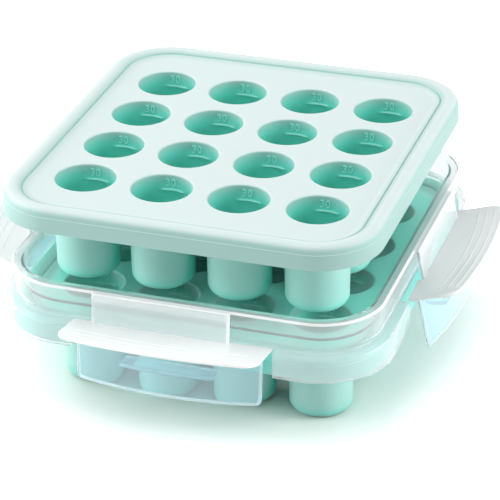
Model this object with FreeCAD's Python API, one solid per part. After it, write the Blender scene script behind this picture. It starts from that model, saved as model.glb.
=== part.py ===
import FreeCAD, Part

import math
import os

from FreeCAD import Vector

# Two stacked silicone freezer trays, in millimetres, +Z up. The lower tray wears a clear
# clip-on lid with four hinged latch flaps, and the upper tray stands in the lid's recess.
# The origin is at the centre of the lower tray, on the surface that its cups stand on.
# "out" is the distance from the centre towards the side that a piece belongs to.
# Each tray is one moulding, kept as solids that meet face to face: the rim, the square of
# panel round each cup's mouth, and the cup below it.

# Silicone tray, used twice
tray_width = 202.0
tray_depth = 221.0
tray_corner_radius = 34.0
rim_width = 7.0
rim_drop = 10.0
rim_flare = 1.0
rim_edge_radius = 1.0
lip_height = 3.0
lip_outer_radius = 2.8
lip_inner_radius = 1.6
lip_inner_slope = 2.2
panel_thickness = 2.5
cup_rows = 4
cup_columns = 4
cup_pitch = 42.0
cup_depth = 52.4
cup_mouth_radius = 16.0
cup_taper = 0.4
cup_wall = 1.2
cup_floor = 2.0
cup_foot_radius = 5.0
cup_mouth_fillet = 0.8

# Lid
lid_wall = 1.5
lid_corner_radius = 35.0
lid_overhang = 0.3
lid_rise = 18.1
lid_wall_lean = 2.8
border_width = 6.5
recess_depth = 12.7
recess_wall_lean = 0.6
skirt_reach = 4.0
skirt_drop = 13.6
skirt_flare = 0.5
lid_edge_radius = 1.6
lid_inner_radius = 0.8
panel_overlap = 1.0
notch_side_gap = 1.0
notch_back_gap = 0.4

# Latch flap, the same on all four sides
latch_wall = 1.6
hinge_height = 0.9
hinge_gap = 0.4
latch_panel_width = 74.0
latch_panel_height = 15.8
ledge_width = 107.0
ledge_depth = 24.0
ledge_bow = 5.5
ledge_corner_radius = 9.0
ledge_tilt = 5.0
ledge_wing = 1.8
plate_width = 105.0
plate_drop = 31.0
plate_bow = 8.0
plate_inset = -0.6
plate_corner_radius = 6.0
catch_width = 50.0
catch_reach = 2.0
catch_thickness = 2.4
catch_lead = 1.5
window_width = 60.0
window_depth = 2.6
window_inset = 0.6
ridge_count = 3
ridge_width = 1.3
ridge_height = 0.8
ridge_pitch = 5.0
ridge_inset = 3.2
ridge_end_gap = 8.0

# How the pieces stand together
seat_gap = 0.3
upper_tray_shift_x = -2.0
upper_tray_shift_y = -1.0
front_latch_angle = 5.5
side_latch_angle = 12.0
front_latch_shift = -2.0
side_latch_shift = 12.0
front_panel_shift = -5.6
side_panel_shift = 6.0

# Heights and half sizes that follow from the sizes above
tray_half_width = tray_width / 2
tray_half_depth = tray_depth / 2
lower_panel_z = cup_depth
flange_under_z = lower_panel_z + lip_height + seat_gap
flange_z = flange_under_z + lid_wall
skirt_bottom_z = flange_z - skirt_drop
border_z = flange_z + lid_rise
recess_z = border_z - recess_depth
upper_base_z = recess_z + seat_gap
rim_bottom_z = lower_panel_z - rim_drop
lid_half_width = tray_half_width + lid_overhang
lid_half_depth = tray_half_depth + lid_overhang
hinge_out = hinge_gap + latch_wall / 2
hinge_z = border_z - hinge_height
ledge_z = hinge_z - latch_panel_height
catch_z = rim_bottom_z - seat_gap


def rounded_outline(corners, place):
    """Closed wire through (a, b, radius) corners, each rounded to its own radius."""
    count = len(corners)
    starts = []
    ends = []
    middles = []
    for index, (a, b, radius) in enumerate(corners):
        before = corners[index - 1]
        after = corners[(index + 1) % count]
        to_before = Vector(before[0] - a, before[1] - b, 0).normalize()
        to_after = Vector(after[0] - a, after[1] - b, 0).normalize()
        corner = Vector(a, b, 0)
        if radius == 0:
            starts.append(corner)
            ends.append(corner)
            middles.append(None)
            continue
        half_angle = to_before.getAngle(to_after) / 2
        reach = radius / math.tan(half_angle)
        inward = (to_before + to_after).normalize()
        starts.append(corner + to_before * reach)
        ends.append(corner + to_after * reach)
        middles.append(corner + inward * (radius / math.sin(half_angle) - radius))
    edges = []
    for index in range(count):
        start = place(starts[index])
        end = place(ends[index])
        if middles[index] is not None:
            edges.append(Part.Arc(start, place(middles[index]), end).toShape())
        next_start = place(starts[(index + 1) % count])
        if end.distanceToPoint(next_start) > 1e-6:
            edges.append(Part.LineSegment(end, next_start).toShape())
    return Part.Wire(edges)


def in_section(point):
    """Puts an (out, height) point in the XZ plane."""
    return Vector(point.x, 0, point.y)


def rounded_rectangle(half_width, half_depth, radius, height):
    """Closed wire that starts at the middle of the +X side."""
    edges = []
    start = Vector(half_width, 0, height)
    here = start
    for quarter, (side_x, side_y) in enumerate(((1, 1), (-1, 1), (-1, -1), (1, -1))):
        centre = Vector(side_x * (half_width - radius), side_y * (half_depth - radius), height)
        arc_points = []
        for step in range(3):
            angle = math.radians(90 * quarter + 45 * step)
            arc_points.append(centre + Vector(math.cos(angle), math.sin(angle), 0) * radius)
        edges.append(Part.LineSegment(here, arc_points[0]).toShape())
        edges.append(Part.Arc(*arc_points).toShape())
        here = arc_points[2]
    edges.append(Part.LineSegment(here, start).toShape())
    return Part.Wire(edges)


def slab(half_width, half_depth, radius, bottom, thickness):
    outline = rounded_rectangle(half_width, half_depth, radius, bottom)
    return Part.Face(outline).extrude(Vector(0, 0, thickness))


def swept_border(section_corners, half_width, half_depth, radius):
    """Sweeps a section, drawn outwards from the border line, once round the border line."""
    section = rounded_outline(section_corners, in_section)
    section.translate(Vector(half_width, 0, 0))
    border_line = rounded_rectangle(half_width, half_depth, radius, 0)
    return border_line.makePipeShell([section], True, False)


def turned(section_corners):
    face = Part.Face(rounded_outline(section_corners, in_section))
    return face.revolve(Vector(0, 0, 0), Vector(0, 0, 1), 360)


def cup_centres():
    for row in range(cup_rows):
        for column in range(cup_columns):
            x = (column - (cup_columns - 1) / 2) * cup_pitch
            y = (row - (cup_rows - 1) / 2) * cup_pitch
            yield Vector(x, y, 0)


def rim_section():
    """Solid rim: its lip stands above the panel and its foot hangs below it."""
    crest_inner = -rim_width + lip_inner_slope
    tab_end = -rim_width - 2 * panel_overlap
    return [
        (rim_flare, -rim_drop, rim_edge_radius),
        (0, lip_height, lip_outer_radius),
        (crest_inner, lip_height, lip_inner_radius),
        (-rim_width, 0, rim_edge_radius / 2),
        (tab_end, 0, 0),
        (tab_end, -panel_thickness, 0),
        (-rim_width, -panel_thickness, rim_edge_radius),
        (-rim_width, -rim_drop, rim_edge_radius),
    ]


def cup_outside():
    mouth = cup_mouth_radius + cup_wall
    return turned([
        (0, -cup_depth, 0),
        (mouth - cup_taper, -cup_depth, cup_foot_radius),
        (mouth, -panel_thickness, 0),
        (0, -panel_thickness, 0),
    ])


def cup_inside():
    return turned([
        (0, cup_floor - cup_depth, 0),
        (cup_mouth_radius - cup_taper, cup_floor - cup_depth, cup_foot_radius - cup_wall),
        (cup_mouth_radius, 0, 0),
        (cup_mouth_radius, lip_height, 0),
        (0, lip_height, 0),
    ])


def make_tray_panel():
    """The tray's rim, and one square of its panel round each cup's mouth; its top is at z = 0."""
    inner_half_width = tray_half_width - rim_width - panel_overlap
    inner_half_depth = tray_half_depth - rim_width - panel_overlap
    inner_radius = tray_corner_radius - rim_width - panel_overlap
    rim = swept_border(rim_section(), tray_half_width, tray_half_depth, tray_corner_radius)
    panel = slab(inner_half_width, inner_half_depth, inner_radius, -panel_thickness, panel_thickness)
    insides = []
    squares = []
    for centre in cup_centres():
        inside = cup_inside()
        inside.translate(centre)
        insides.append(inside)
        corner = centre - Vector(cup_pitch / 2, cup_pitch / 2, panel_thickness)
        squares.append(Part.makeBox(cup_pitch, cup_pitch, panel_thickness, corner))
    body = rim.fuse(panel).removeSplitter().cut(insides)
    mouths = []
    for edge in body.Edges:
        is_circle = isinstance(edge.Curve, Part.Circle)
        at_top = abs(edge.CenterOfMass.z) < 1e-3
        if is_circle and at_top and abs(edge.Curve.Radius - cup_mouth_radius) < 1e-3:
            mouths.append(edge)
    body = body.makeFillet(cup_mouth_fillet, mouths)
    pieces = [body.cut(squares)]
    for square in squares:
        pieces.append(body.common(square))
    return Part.makeCompound(pieces)


def make_tray_cups():
    """The tray's cups below the panel, one solid each."""
    cup = cup_outside().cut(cup_inside())
    cups = []
    for centre in cup_centres():
        placed = cup.copy()
        placed.translate(centre)
        cups.append(placed)
    return Part.makeCompound(cups)


def lid_section():
    """Skirt, flange, leaning wall, raised border and recess wall, as one bent sheet."""
    foot = -lid_wall_lean
    skirt = skirt_reach
    inner = -border_width
    recess_foot = inner - recess_wall_lean
    tab_end = recess_foot - lid_wall - 2 * panel_overlap
    outer_bend = lid_edge_radius
    inner_bend = lid_inner_radius
    return [
        (skirt + skirt_flare, skirt_bottom_z, 0),
        (skirt, flange_z, outer_bend),
        (foot, flange_z, inner_bend),
        (0, border_z, outer_bend),
        (inner, border_z, outer_bend),
        (recess_foot, recess_z, inner_bend),
        (tab_end, recess_z, 0),
        (tab_end, recess_z - lid_wall, 0),
        (recess_foot + lid_wall, recess_z - lid_wall, outer_bend),
        (inner + lid_wall, border_z - lid_wall, inner_bend),
        (-lid_wall, border_z - lid_wall, inner_bend),
        (foot - lid_wall, flange_under_z, inner_bend),
        (skirt - lid_wall, flange_under_z, inner_bend),
        (skirt - lid_wall + skirt_flare, skirt_bottom_z, 0),
    ]


def notch(half_out, shift):
    """Room in the flange and skirt for a latch on the front, before it is turned to its side."""
    width = ledge_width + 2 * notch_side_gap
    back = half_out - ledge_wing - notch_back_gap
    height = flange_z - skirt_bottom_z + 2 * lid_wall
    corner = Vector(shift - width / 2, -back - ledge_depth, skirt_bottom_z - lid_wall)
    return Part.makeBox(width, ledge_depth, height, corner)


def make_lid():
    ring = swept_border(lid_section(), lid_half_width, lid_half_depth, lid_corner_radius)
    inset = border_width + recess_wall_lean + lid_wall + panel_overlap
    panel = slab(
        lid_half_width - inset,
        lid_half_depth - inset,
        lid_corner_radius - inset,
        recess_z - lid_wall,
        lid_wall,
    )
    lid = ring.fuse(panel).removeSplitter()
    for turn, half_out, angle, shift, panel_shift in latch_places.values():
        room = notch(half_out, shift)
        room.rotate(Vector(0, 0, 0), Vector(0, 0, 1), turn)
        lid = lid.cut(room)
    return lid


def arc_band(half_width, out_at_ends, bow, thickness, bottom, height):
    """Upright band that bulges outwards by its bow, with its outer face given at its ends."""
    radius = (half_width ** 2 + bow ** 2) / (2 * bow)
    centre = Vector(0, radius - out_at_ends - bow, bottom)
    outer = Part.makeCylinder(radius, height, centre)
    inner = Part.makeCylinder(radius - thickness, height, centre)
    window = Part.makeBox(
        2 * half_width,
        2 * bow + 2 * thickness,
        height,
        Vector(-half_width, -out_at_ends - bow - thickness, bottom),
    )
    return outer.cut(inner).common(window)


def latch_ledge(panel_out, panel_shift):
    """Finger ledge with bowed front, rounded corners, inner wings and long ridges."""
    bottom = ledge_z - latch_wall
    half = ledge_width / 2
    panel_left = panel_shift - latch_panel_width / 2
    panel_right = panel_shift + latch_panel_width / 2
    end_out = panel_out + ledge_depth
    front = Part.Arc(
        Vector(-half, -end_out, bottom),
        Vector(0, -end_out - ledge_bow, bottom),
        Vector(half, -end_out, bottom),
    ).toShape()
    wing_out = panel_out - hinge_gap - latch_wall - ledge_wing
    panel_inner = panel_out - latch_wall
    back_points = [
        Vector(half, -end_out, bottom),
        Vector(half, -wing_out, bottom),
        Vector(panel_right, -wing_out, bottom),
        Vector(panel_right, -panel_inner, bottom),
        Vector(panel_left, -panel_inner, bottom),
        Vector(panel_left, -wing_out, bottom),
        Vector(-half, -wing_out, bottom),
        Vector(-half, -end_out, bottom),
    ]
    outline = Part.Wire([front] + Part.makePolygon(back_points).Edges)
    ledge = Part.Face(outline).extrude(Vector(0, 0, latch_wall))
    corner_edges = []
    for edge in ledge.Edges:
        middle = edge.CenterOfMass
        upright = abs(edge.BoundBox.ZLength - latch_wall) < 1e-6
        if upright and edge.BoundBox.XLength < 1e-6 and abs(middle.y + end_out) < 1e-3:
            corner_edges.append(edge)
    ledge = ledge.makeFillet(ledge_corner_radius, corner_edges)
    ridge_half = half - ridge_end_gap
    chord_drop = ledge_bow * (ridge_half / half) ** 2
    pieces = []
    for index in range(ridge_count):
        ridge_out = end_out + ledge_bow - chord_drop - ridge_inset - index * ridge_pitch
        pieces.append(
            arc_band(ridge_half, ridge_out, chord_drop, ridge_width, ledge_z - ridge_height, 2 * ridge_height)
        )
    return ledge.fuse(pieces)


def latch_catch(panel_out, plate_radius, plate_centre):
    """Shelf on the plate's inside, whose tip catches under the tray's rim."""
    rim_out = panel_out - latch_wall - hinge_gap - lid_overhang + rim_flare
    tip = rim_out - catch_reach
    back = panel_out + plate_bow + latch_wall
    corners = [
        (tip, catch_z),
        (tip, catch_z - catch_thickness / 3),
        (tip + catch_lead, catch_z - catch_thickness),
        (back, catch_z - catch_thickness),
        (back, catch_z),
    ]
    points = [Vector(-catch_width / 2, -out, height) for out, height in corners]
    points.append(points[0])
    shelf = Part.Face(Part.makePolygon(points)).extrude(Vector(catch_width, 0, 0))
    reach = Part.makeCylinder(plate_radius, hinge_z, plate_centre)
    return shelf.common(reach)


def make_latch(half_out, panel_shift):
    """Latch flap on the front side, closed, in one piece from hinge bead to plate."""
    panel_out = half_out + hinge_gap + latch_wall
    panel_left = panel_shift - latch_panel_width / 2
    bead = Part.makeCylinder(
        latch_wall / 2,
        latch_panel_width,
        Vector(panel_left, -half_out - hinge_out, hinge_z),
        Vector(1, 0, 0),
    )
    panel = Part.makeBox(
        latch_panel_width,
        latch_wall,
        latch_panel_height + latch_wall / 2,
        Vector(panel_left, -panel_out, ledge_z - latch_wall / 2),
    )
    ledge = latch_ledge(panel_out, panel_shift)
    window = Part.makeBox(
        window_width,
        window_depth,
        3 * latch_wall,
        Vector(
            panel_shift - window_width / 2,
            -panel_out - window_inset - window_depth,
            ledge_z - 2 * latch_wall,
        ),
    )
    foot = Vector(0, -panel_out, ledge_z - latch_wall / 2)
    for piece in (ledge, window):
        piece.rotate(foot, Vector(-1, 0, 0), ledge_tilt)

    half_plate = plate_width / 2
    plate_out = panel_out + plate_inset + latch_wall
    plate_bottom = ledge_z - plate_drop
    plate = arc_band(half_plate, plate_out, plate_bow, latch_wall, plate_bottom, plate_drop + ledge_depth)
    above = Part.makeBox(
        2 * ledge_width,
        4 * ledge_depth,
        2 * ledge_depth,
        Vector(-ledge_width, foot.y - 2 * ledge_depth, foot.z),
    )
    above.rotate(foot, Vector(-1, 0, 0), ledge_tilt)
    top = ledge_z + ledge_depth
    front_view = rounded_outline(
        [
            (-half_plate, plate_bottom, plate_corner_radius),
            (half_plate, plate_bottom, plate_corner_radius),
            (half_plate, top, 0),
            (-half_plate, top, 0),
        ],
        in_section,
    )
    front_view.translate(Vector(0, -plate_out - 2 * plate_bow, 0))
    trim = Part.Face(front_view).extrude(Vector(0, 4 * plate_bow, 0))
    plate = plate.cut(above).common(trim)

    plate_radius = (half_plate ** 2 + plate_bow ** 2) / (2 * plate_bow)
    plate_centre = Vector(0, plate_radius - plate_out - plate_bow, 0)
    catch = latch_catch(panel_out, plate_radius - latch_wall / 2, plate_centre)
    return panel.fuse([bead, ledge, plate, catch]).cut(window).removeSplitter()


def place_latch(half_out, turn, angle, shift, panel_shift):
    """Opens a latch by its rest angle about its hinge, then turns it to its own side."""
    latch = make_latch(half_out, panel_shift)
    hinge = Vector(0, -half_out - hinge_out, hinge_z)
    latch.rotate(hinge, Vector(-1, 0, 0), angle)
    latch.translate(Vector(shift, 0, 0))
    latch.rotate(Vector(0, 0, 0), Vector(0, 0, 1), turn)
    return latch


# Each latch: turn about Z to its side, half size of the lid there, rest angle, its shift
# along the side, and the shift of its hinge panel along the ledge
front_place = (lid_half_depth, front_latch_angle, front_latch_shift, front_panel_shift)
side_place = (lid_half_width, side_latch_angle, side_latch_shift, side_panel_shift)
latch_places = {
    "front_latch": (0, *front_place),
    "right_latch": (90, *side_place),
    "back_latch": (180, *front_place),
    "left_latch": (270, *side_place),
}

nodes = {}
tray_places = {
    "lower": Vector(0, 0, lower_panel_z),
    "upper": Vector(upper_tray_shift_x, upper_tray_shift_y, upper_base_z + cup_depth),
}
for tray_name, place in tray_places.items():
    nodes[tray_name + "_tray_panel"] = make_tray_panel()
    nodes[tray_name + "_tray_cups"] = make_tray_cups()
    for part_name in ("_tray_panel", "_tray_cups"):
        nodes[tray_name + part_name].translate(place)
nodes["lid"] = make_lid()
for latch_name, (turn, half_out, angle, shift, panel_shift) in latch_places.items():
    nodes[latch_name] = place_latch(half_out, turn, angle, shift, panel_shift)

os.makedirs("parts", exist_ok=True)
for node_name, shape in nodes.items():
    solids = shape.Solids
    kept = solids[0] if len(solids) == 1 else Part.makeCompound(solids)
    box = kept.optimalBoundingBox(True, False)
    print(
        node_name,
        "solids", len(solids),
        "valid", all(solid.isValid() for solid in solids),
        "volume %.0f" % kept.Volume,
        "x %.2f %.2f y %.2f %.2f z %.2f %.2f"
        % (box.XMin, box.XMax, box.YMin, box.YMax, box.ZMin, box.ZMax),
    )
    kept.exportStep("parts/" + node_name + ".step")
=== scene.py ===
import math

import bmesh
import bpy
from mathutils import Matrix, Vector
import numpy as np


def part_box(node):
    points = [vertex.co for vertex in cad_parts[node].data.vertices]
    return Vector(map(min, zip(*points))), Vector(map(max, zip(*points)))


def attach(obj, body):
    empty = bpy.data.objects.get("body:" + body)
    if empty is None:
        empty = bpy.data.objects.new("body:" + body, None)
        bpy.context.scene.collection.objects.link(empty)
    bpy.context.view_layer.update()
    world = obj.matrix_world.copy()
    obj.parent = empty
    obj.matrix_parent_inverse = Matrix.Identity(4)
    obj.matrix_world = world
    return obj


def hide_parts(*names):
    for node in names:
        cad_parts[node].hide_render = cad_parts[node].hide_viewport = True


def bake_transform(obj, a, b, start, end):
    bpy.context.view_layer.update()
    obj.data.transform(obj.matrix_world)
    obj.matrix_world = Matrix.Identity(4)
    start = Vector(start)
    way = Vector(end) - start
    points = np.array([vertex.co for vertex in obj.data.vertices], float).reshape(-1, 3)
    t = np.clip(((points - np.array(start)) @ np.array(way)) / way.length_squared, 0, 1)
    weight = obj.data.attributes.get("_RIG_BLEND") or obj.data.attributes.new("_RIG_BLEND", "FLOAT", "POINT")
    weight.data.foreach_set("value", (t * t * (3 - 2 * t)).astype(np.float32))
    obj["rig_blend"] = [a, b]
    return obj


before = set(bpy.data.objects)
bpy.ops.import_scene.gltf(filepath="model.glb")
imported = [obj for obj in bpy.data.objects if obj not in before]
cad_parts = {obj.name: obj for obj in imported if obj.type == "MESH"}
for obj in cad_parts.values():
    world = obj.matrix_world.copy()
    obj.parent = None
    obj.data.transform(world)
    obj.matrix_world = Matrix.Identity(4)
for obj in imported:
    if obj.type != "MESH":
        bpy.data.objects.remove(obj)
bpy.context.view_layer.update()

# Two silicone freezer trays, stacked, with a clear lid and four latch flaps between them.
# Lengths are written in millimetres and scaled to metres where a mesh is made.
# On a latch, "out" is the distance from the centre line towards the latch's side. In the
# cross-sections of a tray's rim and of the lid it is counted outwards from their side.
MM = 0.001

# Silicone tray
TRAY_CORNER = 34.0
RIM_WIDTH = 7.0
RIM_DROP = 10.0
RIM_FLARE = 1.0
LIP_HEIGHT = 3.0
PANEL_THICKNESS = 2.5
CUP_PITCH = 42.0
CUPS_A_SIDE = 4
CUP_DEPTH = 52.4
MOUTH_RADIUS = 16.0
CUP_TAPER = 0.4
CUP_WALL = 1.2
CUP_FLOOR = 2.0
FOOT_RADIUS = 5.0

# Lid
LID_WALL = 1.5
LID_CORNER = 35.0
LID_RISE = 18.1
WALL_LEAN = 2.8
BORDER_WIDTH = 6.5
RECESS_DEPTH = 12.7
RECESS_LEAN = 0.6
SKIRT_REACH = 4.0
SKIRT_DROP = 13.6
SKIRT_FLARE = 0.5

# Latch flap
LATCH_WALL = 1.6
HINGE_GAP = 0.4
HINGE_HEIGHT = 0.9
PANEL_WIDTH = 74.0
PANEL_HEIGHT = 15.8
LEDGE_WIDTH = 107.0
LEDGE_DEPTH = 24.0
LEDGE_BOW = 5.5
LEDGE_CORNER = 9.0
LEDGE_TILT = 5.0
LEDGE_WING = 1.8
PLATE_WIDTH = 105.0
PLATE_DROP = 31.0
PLATE_BOW = 8.0
PLATE_INSET = -0.6
PLATE_CORNER = 4.0
PLATE_TRIM = 2.6
CATCH_WIDTH = 50.0
CATCH_REACH = 2.0
CATCH_THICKNESS = 2.4
CATCH_GAP = 0.3
TRAY_GAP = 0.3
NOTCH_GAP = 1.0


def box_of(node):
    """Lowest and highest corner of a CAD node, in millimetres."""
    low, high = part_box(node)
    return low / MM, high / MM


upper_low, upper_high = box_of("upper_tray_panel")
upper_centre = (upper_low + upper_high) / 2
upper_panel_z = upper_high.z - LIP_HEIGHT
lower_high = box_of("lower_tray_panel")[1]
lower_panel_z = lower_high.z - LIP_HEIGHT
tray_half_width = lower_high.x - RIM_FLARE
tray_half_depth = lower_high.y - RIM_FLARE
lid_high = box_of("lid")[1]
lid_half_width = lid_high.x - SKIRT_REACH - SKIRT_FLARE
lid_half_depth = lid_high.y - SKIRT_REACH - SKIRT_FLARE
border_z = lid_high.z
flange_z = border_z - LID_RISE
skirt_bottom_z = flange_z - SKIRT_DROP
recess_z = border_z - RECESS_DEPTH
hinge_z = border_z - HINGE_HEIGHT
ledge_z = hinge_z - PANEL_HEIGHT
catch_z = lower_panel_z - RIM_DROP - CATCH_GAP
hinge_out = HINGE_GAP + LATCH_WALL / 2

# Where each latch hangs: turn about Z to its side, half size of the lid there, rest angle in
# degrees, shift of the flap along its side, and shift of its hinge panel along the ledge
FRONT_AND_BACK = {"half_out": lid_half_depth, "angle": 5.5, "shift": -2.0, "panel_shift": -5.6}
LEFT_AND_RIGHT = {"half_out": lid_half_width, "angle": 12.0, "shift": 12.0, "panel_shift": 6.0}
LATCHES = {
    "front_latch": {"turn": 0, **FRONT_AND_BACK},
    "right_latch": {"turn": 90, **LEFT_AND_RIGHT},
    "back_latch": {"turn": 180, **FRONT_AND_BACK},
    "left_latch": {"turn": 270, **LEFT_AND_RIGHT},
}

# Places of the finishes in the row of plastics that the lid and each flap are given. Only the lid
# has the last one, on its skirt.
CLEAR = 0
MILKY = 1
FROSTED = 2
VEILED = 3


# ---------------------------------------------------------------- shader tools

SHADE_SAMPLES = 8


def combined(tree, operation, *terms, clamp=False):
    """Arithmetic on numbers and sockets; with clamp the result stays from 0 to 1."""
    result = tree.nodes.new("ShaderNodeMath")
    result.operation = operation
    result.use_clamp = clamp
    for socket, term in zip(result.inputs, terms):
        if isinstance(term, (int, float)):
            socket.default_value = term
        else:
            tree.links.new(term, socket)
    return result.outputs[0]


def between(tree, share, low, high):
    """Low where the share is 0, high where it is 1."""
    step = tree.nodes.new("ShaderNodeMapRange")
    step.inputs["To Min"].default_value = low
    step.inputs["To Max"].default_value = high
    tree.links.new(share, step.inputs["Value"])
    return step.outputs[0]


def smooth_share(tree, value, low, high):
    """0 below low, 1 above high, and a soft step between them."""
    share = tree.nodes.new("ShaderNodeMapRange")
    share.interpolation_type = "SMOOTHSTEP"
    share.inputs["From Min"].default_value = low
    share.inputs["From Max"].default_value = high
    tree.links.new(value, share.inputs["Value"])
    return share.outputs[0]


def mixed_colour(tree, share, first, second):
    """Colour between first and second. Each may be a plain colour or a socket."""
    mix = tree.nodes.new("ShaderNodeMix")
    mix.data_type = "RGBA"
    tree.links.new(share, mix.inputs["Factor"])
    for socket, colour in ((mix.inputs["A"], first), (mix.inputs["B"], second)):
        if isinstance(colour, tuple):
            socket.default_value = colour
        else:
            tree.links.new(colour, socket)
    return mix.outputs["Result"]


def painted_share(tree, layer):
    """Share that the mesh code has written on a piece's points."""
    share = tree.nodes.new("ShaderNodeAttribute")
    share.attribute_name = layer
    return share.outputs["Fac"]


def open_air(tree, reach):
    """1 on an open face, less where other faces within reach stand round it."""
    air = tree.nodes.new("ShaderNodeAmbientOcclusion")
    air.samples = SHADE_SAMPLES
    air.inputs["Distance"].default_value = reach * MM
    return air.outputs["AO"]


def seen_directly(tree):
    """1 for rays that show the background itself: from the camera, by mirror or through clear plastic.

    A ray that has already left a matt surface gathers light for it, so it gets 0."""
    path = tree.nodes.new("ShaderNodeLightPath").outputs
    mirrored = combined(tree, "MAXIMUM", path["Is Camera Ray"], path["Is Glossy Ray"])
    direct = combined(tree, "MAXIMUM", mirrored, path["Is Transmission Ray"])
    return combined(tree, "SUBTRACT", direct, path["Diffuse Depth"], clamp=True)


# ---------------------------------------------------------------- camera, floor and light

VIEW_AZIMUTH = 18.193
VIEW_ELEVATION = 27.789
VIEW_ROLL = -0.5229
VIEW_DISTANCE = 1319.1
AIM_RIGHT = 5.66
AIM_DOWN = 57.4
LENS = 177.6
SENSOR_WIDTH = 36
NEAREST_SEEN = 0.05
FARTHEST_SEEN = 20

WORLD_LIGHT = 0.48
FLOOR_BOUNCE = 0.8
FLOOR_SEEN = 1.6
CONTACT_SHADE = (0.41, 0.45, 0.41, 1)
CONTACT_REACH = 60.0
WHITE = (1.0, 1.0, 1.0, 1.0)
TABLE_REACH = 6.0

# Each lamp's place and diameter in metres, and its power in watts. All face the same point.
LAMP_AIM = (0, 0, 0.06)
LAMPS = {
    "back_key": ((-1.0, 0.5, 1.0), 0.9, 5.8),
    "top_fill": ((-0.1, -0.2, 1.5), 0.9, 3.1),
    "left_fill": ((-1.5, -0.4, 0.4), 1.0, 18),
    "right_fill": ((1.5, 0.2, 0.55), 1.0, 18),
    "front_fill": ((-0.3, -1.1, 1.1), 1.0, 4.8),
}


def place_camera():
    """Long lens from the front and a little to the right, above the trays."""
    azimuth = math.radians(VIEW_AZIMUTH)
    elevation = math.radians(VIEW_ELEVATION)
    roll = math.radians(VIEW_ROLL)
    back = Vector((
        math.sin(azimuth) * math.cos(elevation),
        -math.cos(azimuth) * math.cos(elevation),
        math.sin(elevation),
    ))
    right = Vector((math.cos(azimuth), math.sin(azimuth), 0))
    up = back.cross(right)
    aim = Vector((upper_centre.x, upper_centre.y, upper_panel_z)) + right * AIM_RIGHT - up * AIM_DOWN
    across = right * math.cos(roll) + up * math.sin(roll)
    upright = up * math.cos(roll) - right * math.sin(roll)
    turn = Matrix((across, upright, back)).transposed().to_4x4()
    data = bpy.data.cameras.new("view")
    data.sensor_width = SENSOR_WIDTH
    data.lens = LENS
    data.clip_start = NEAREST_SEEN
    data.clip_end = FARTHEST_SEEN
    camera = bpy.data.objects.new("view", data)
    camera.matrix_world = Matrix.Translation((aim + back * VIEW_DISTANCE) * MM) @ turn
    bpy.context.scene.collection.objects.link(camera)
    bpy.context.scene.camera = camera


def soft_light(name, place, size, power):
    """Round soft lamp that faces the middle of the stack."""
    data = bpy.data.lights.new(name, "AREA")
    data.shape = "DISK"
    data.size = size
    data.energy = power
    lamp = bpy.data.objects.new(name, data)
    lamp.location = place
    aim = Vector(LAMP_AIM) - Vector(place)
    lamp.rotation_mode = "QUATERNION"
    lamp.rotation_quaternion = aim.to_track_quat("-Z", "Y")
    bpy.context.scene.collection.objects.link(lamp)


def make_world():
    """Even studio light, with a white background behind it."""
    world = bpy.data.worlds.new("studio")
    world.use_nodes = True
    bpy.context.scene.world = world
    tree = world.node_tree
    tree.nodes.clear()
    light = tree.nodes.new("ShaderNodeBackground")
    tree.links.new(between(tree, seen_directly(tree), WORLD_LIGHT, 1), light.inputs["Strength"])
    output = tree.nodes.new("ShaderNodeOutputWorld")
    tree.links.new(light.outputs[0], output.inputs["Surface"])


def make_floor():
    """White table: seen directly it burns out to white, save for a painted contact shadow where the trays
    stand close above it.
    """
    material = bpy.data.materials.new("table")
    material.use_nodes = True
    tree = material.node_tree
    tree.nodes.clear()
    whiteness = between(tree, seen_directly(tree), FLOOR_BOUNCE, FLOOR_SEEN)
    # Painted contact shadow: the table takes the contact shade where the trays stand close above it.
    shade = mixed_colour(tree, open_air(tree, CONTACT_REACH), CONTACT_SHADE, WHITE)
    colour = tree.nodes.new("ShaderNodeVectorMath")
    colour.operation = "SCALE"
    tree.links.new(shade, colour.inputs[0])
    tree.links.new(whiteness, colour.inputs["Scale"])
    matt = tree.nodes.new("ShaderNodeBsdfDiffuse")
    tree.links.new(colour.outputs[0], matt.inputs["Color"])
    output = tree.nodes.new("ShaderNodeOutputMaterial")
    tree.links.new(matt.outputs[0], output.inputs["Surface"])
    mesh = bpy.data.meshes.new("table")
    signs = [(-1, -1), (1, -1), (1, 1), (-1, 1)]
    mesh.from_pydata([(x * TABLE_REACH, y * TABLE_REACH, 0) for x, y in signs], [], [(0, 1, 2, 3)])
    mesh.materials.append(material)
    table = bpy.data.objects.new("table", mesh)
    bpy.context.scene.collection.objects.link(table)


# ---------------------------------------------------------------- materials

GRAIN_SHARE = 0.15

# Painted shade: the silicone's colour in its hollows.
MINT_IN_PAINTED_SHADE = (0.10, 0.82, 0.68, 1)
MINT = (0.355, 0.565, 0.525, 1)
# Painted highlight: the colour of faces that look up.
MINT_PAINTED_TOP_LIGHT = (0.65, 0.765, 0.75, 1)
# Painted highlight on the raised fill line and numbers.
MINT_MARK_HIGHLIGHT = (0.42, 0.92, 0.83, 1)
# Painted shade: the thin cup walls' colour in their hollows.
THIN_IN_PAINTED_SHADE = (0.03, 0.86, 0.70, 1)
# Brighter mint for the thin cup walls, painted in for light that shines through them.
THIN_MINT_PAINTED_GLOW = (0.45, 0.79, 0.725, 1)
# Ambient occlusion reach and levels that place the painted shade in hollows.
HOLLOW_REACH = 14.0
HOLLOW_AIR = 0.22
OPEN_AIR = 0.92
# Slopes of the normal over which the painted top highlight fades in.
SLOPING = 0.3
LEVEL = 0.95


def new_group(name, inputs, outputs):
    """Node group that takes and gives plain numbers, with its input and output nodes."""
    group = bpy.data.node_groups.new(name, "ShaderNodeTree")
    for socket_name, value in inputs.items():
        socket = group.interface.new_socket(socket_name, in_out="INPUT", socket_type="NodeSocketFloat")
        socket.default_value = value
    for socket_name in outputs:
        group.interface.new_socket(socket_name, in_out="OUTPUT", socket_type="NodeSocketFloat")
    return group, group.nodes.new("NodeGroupInput"), group.nodes.new("NodeGroupOutput")


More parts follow.
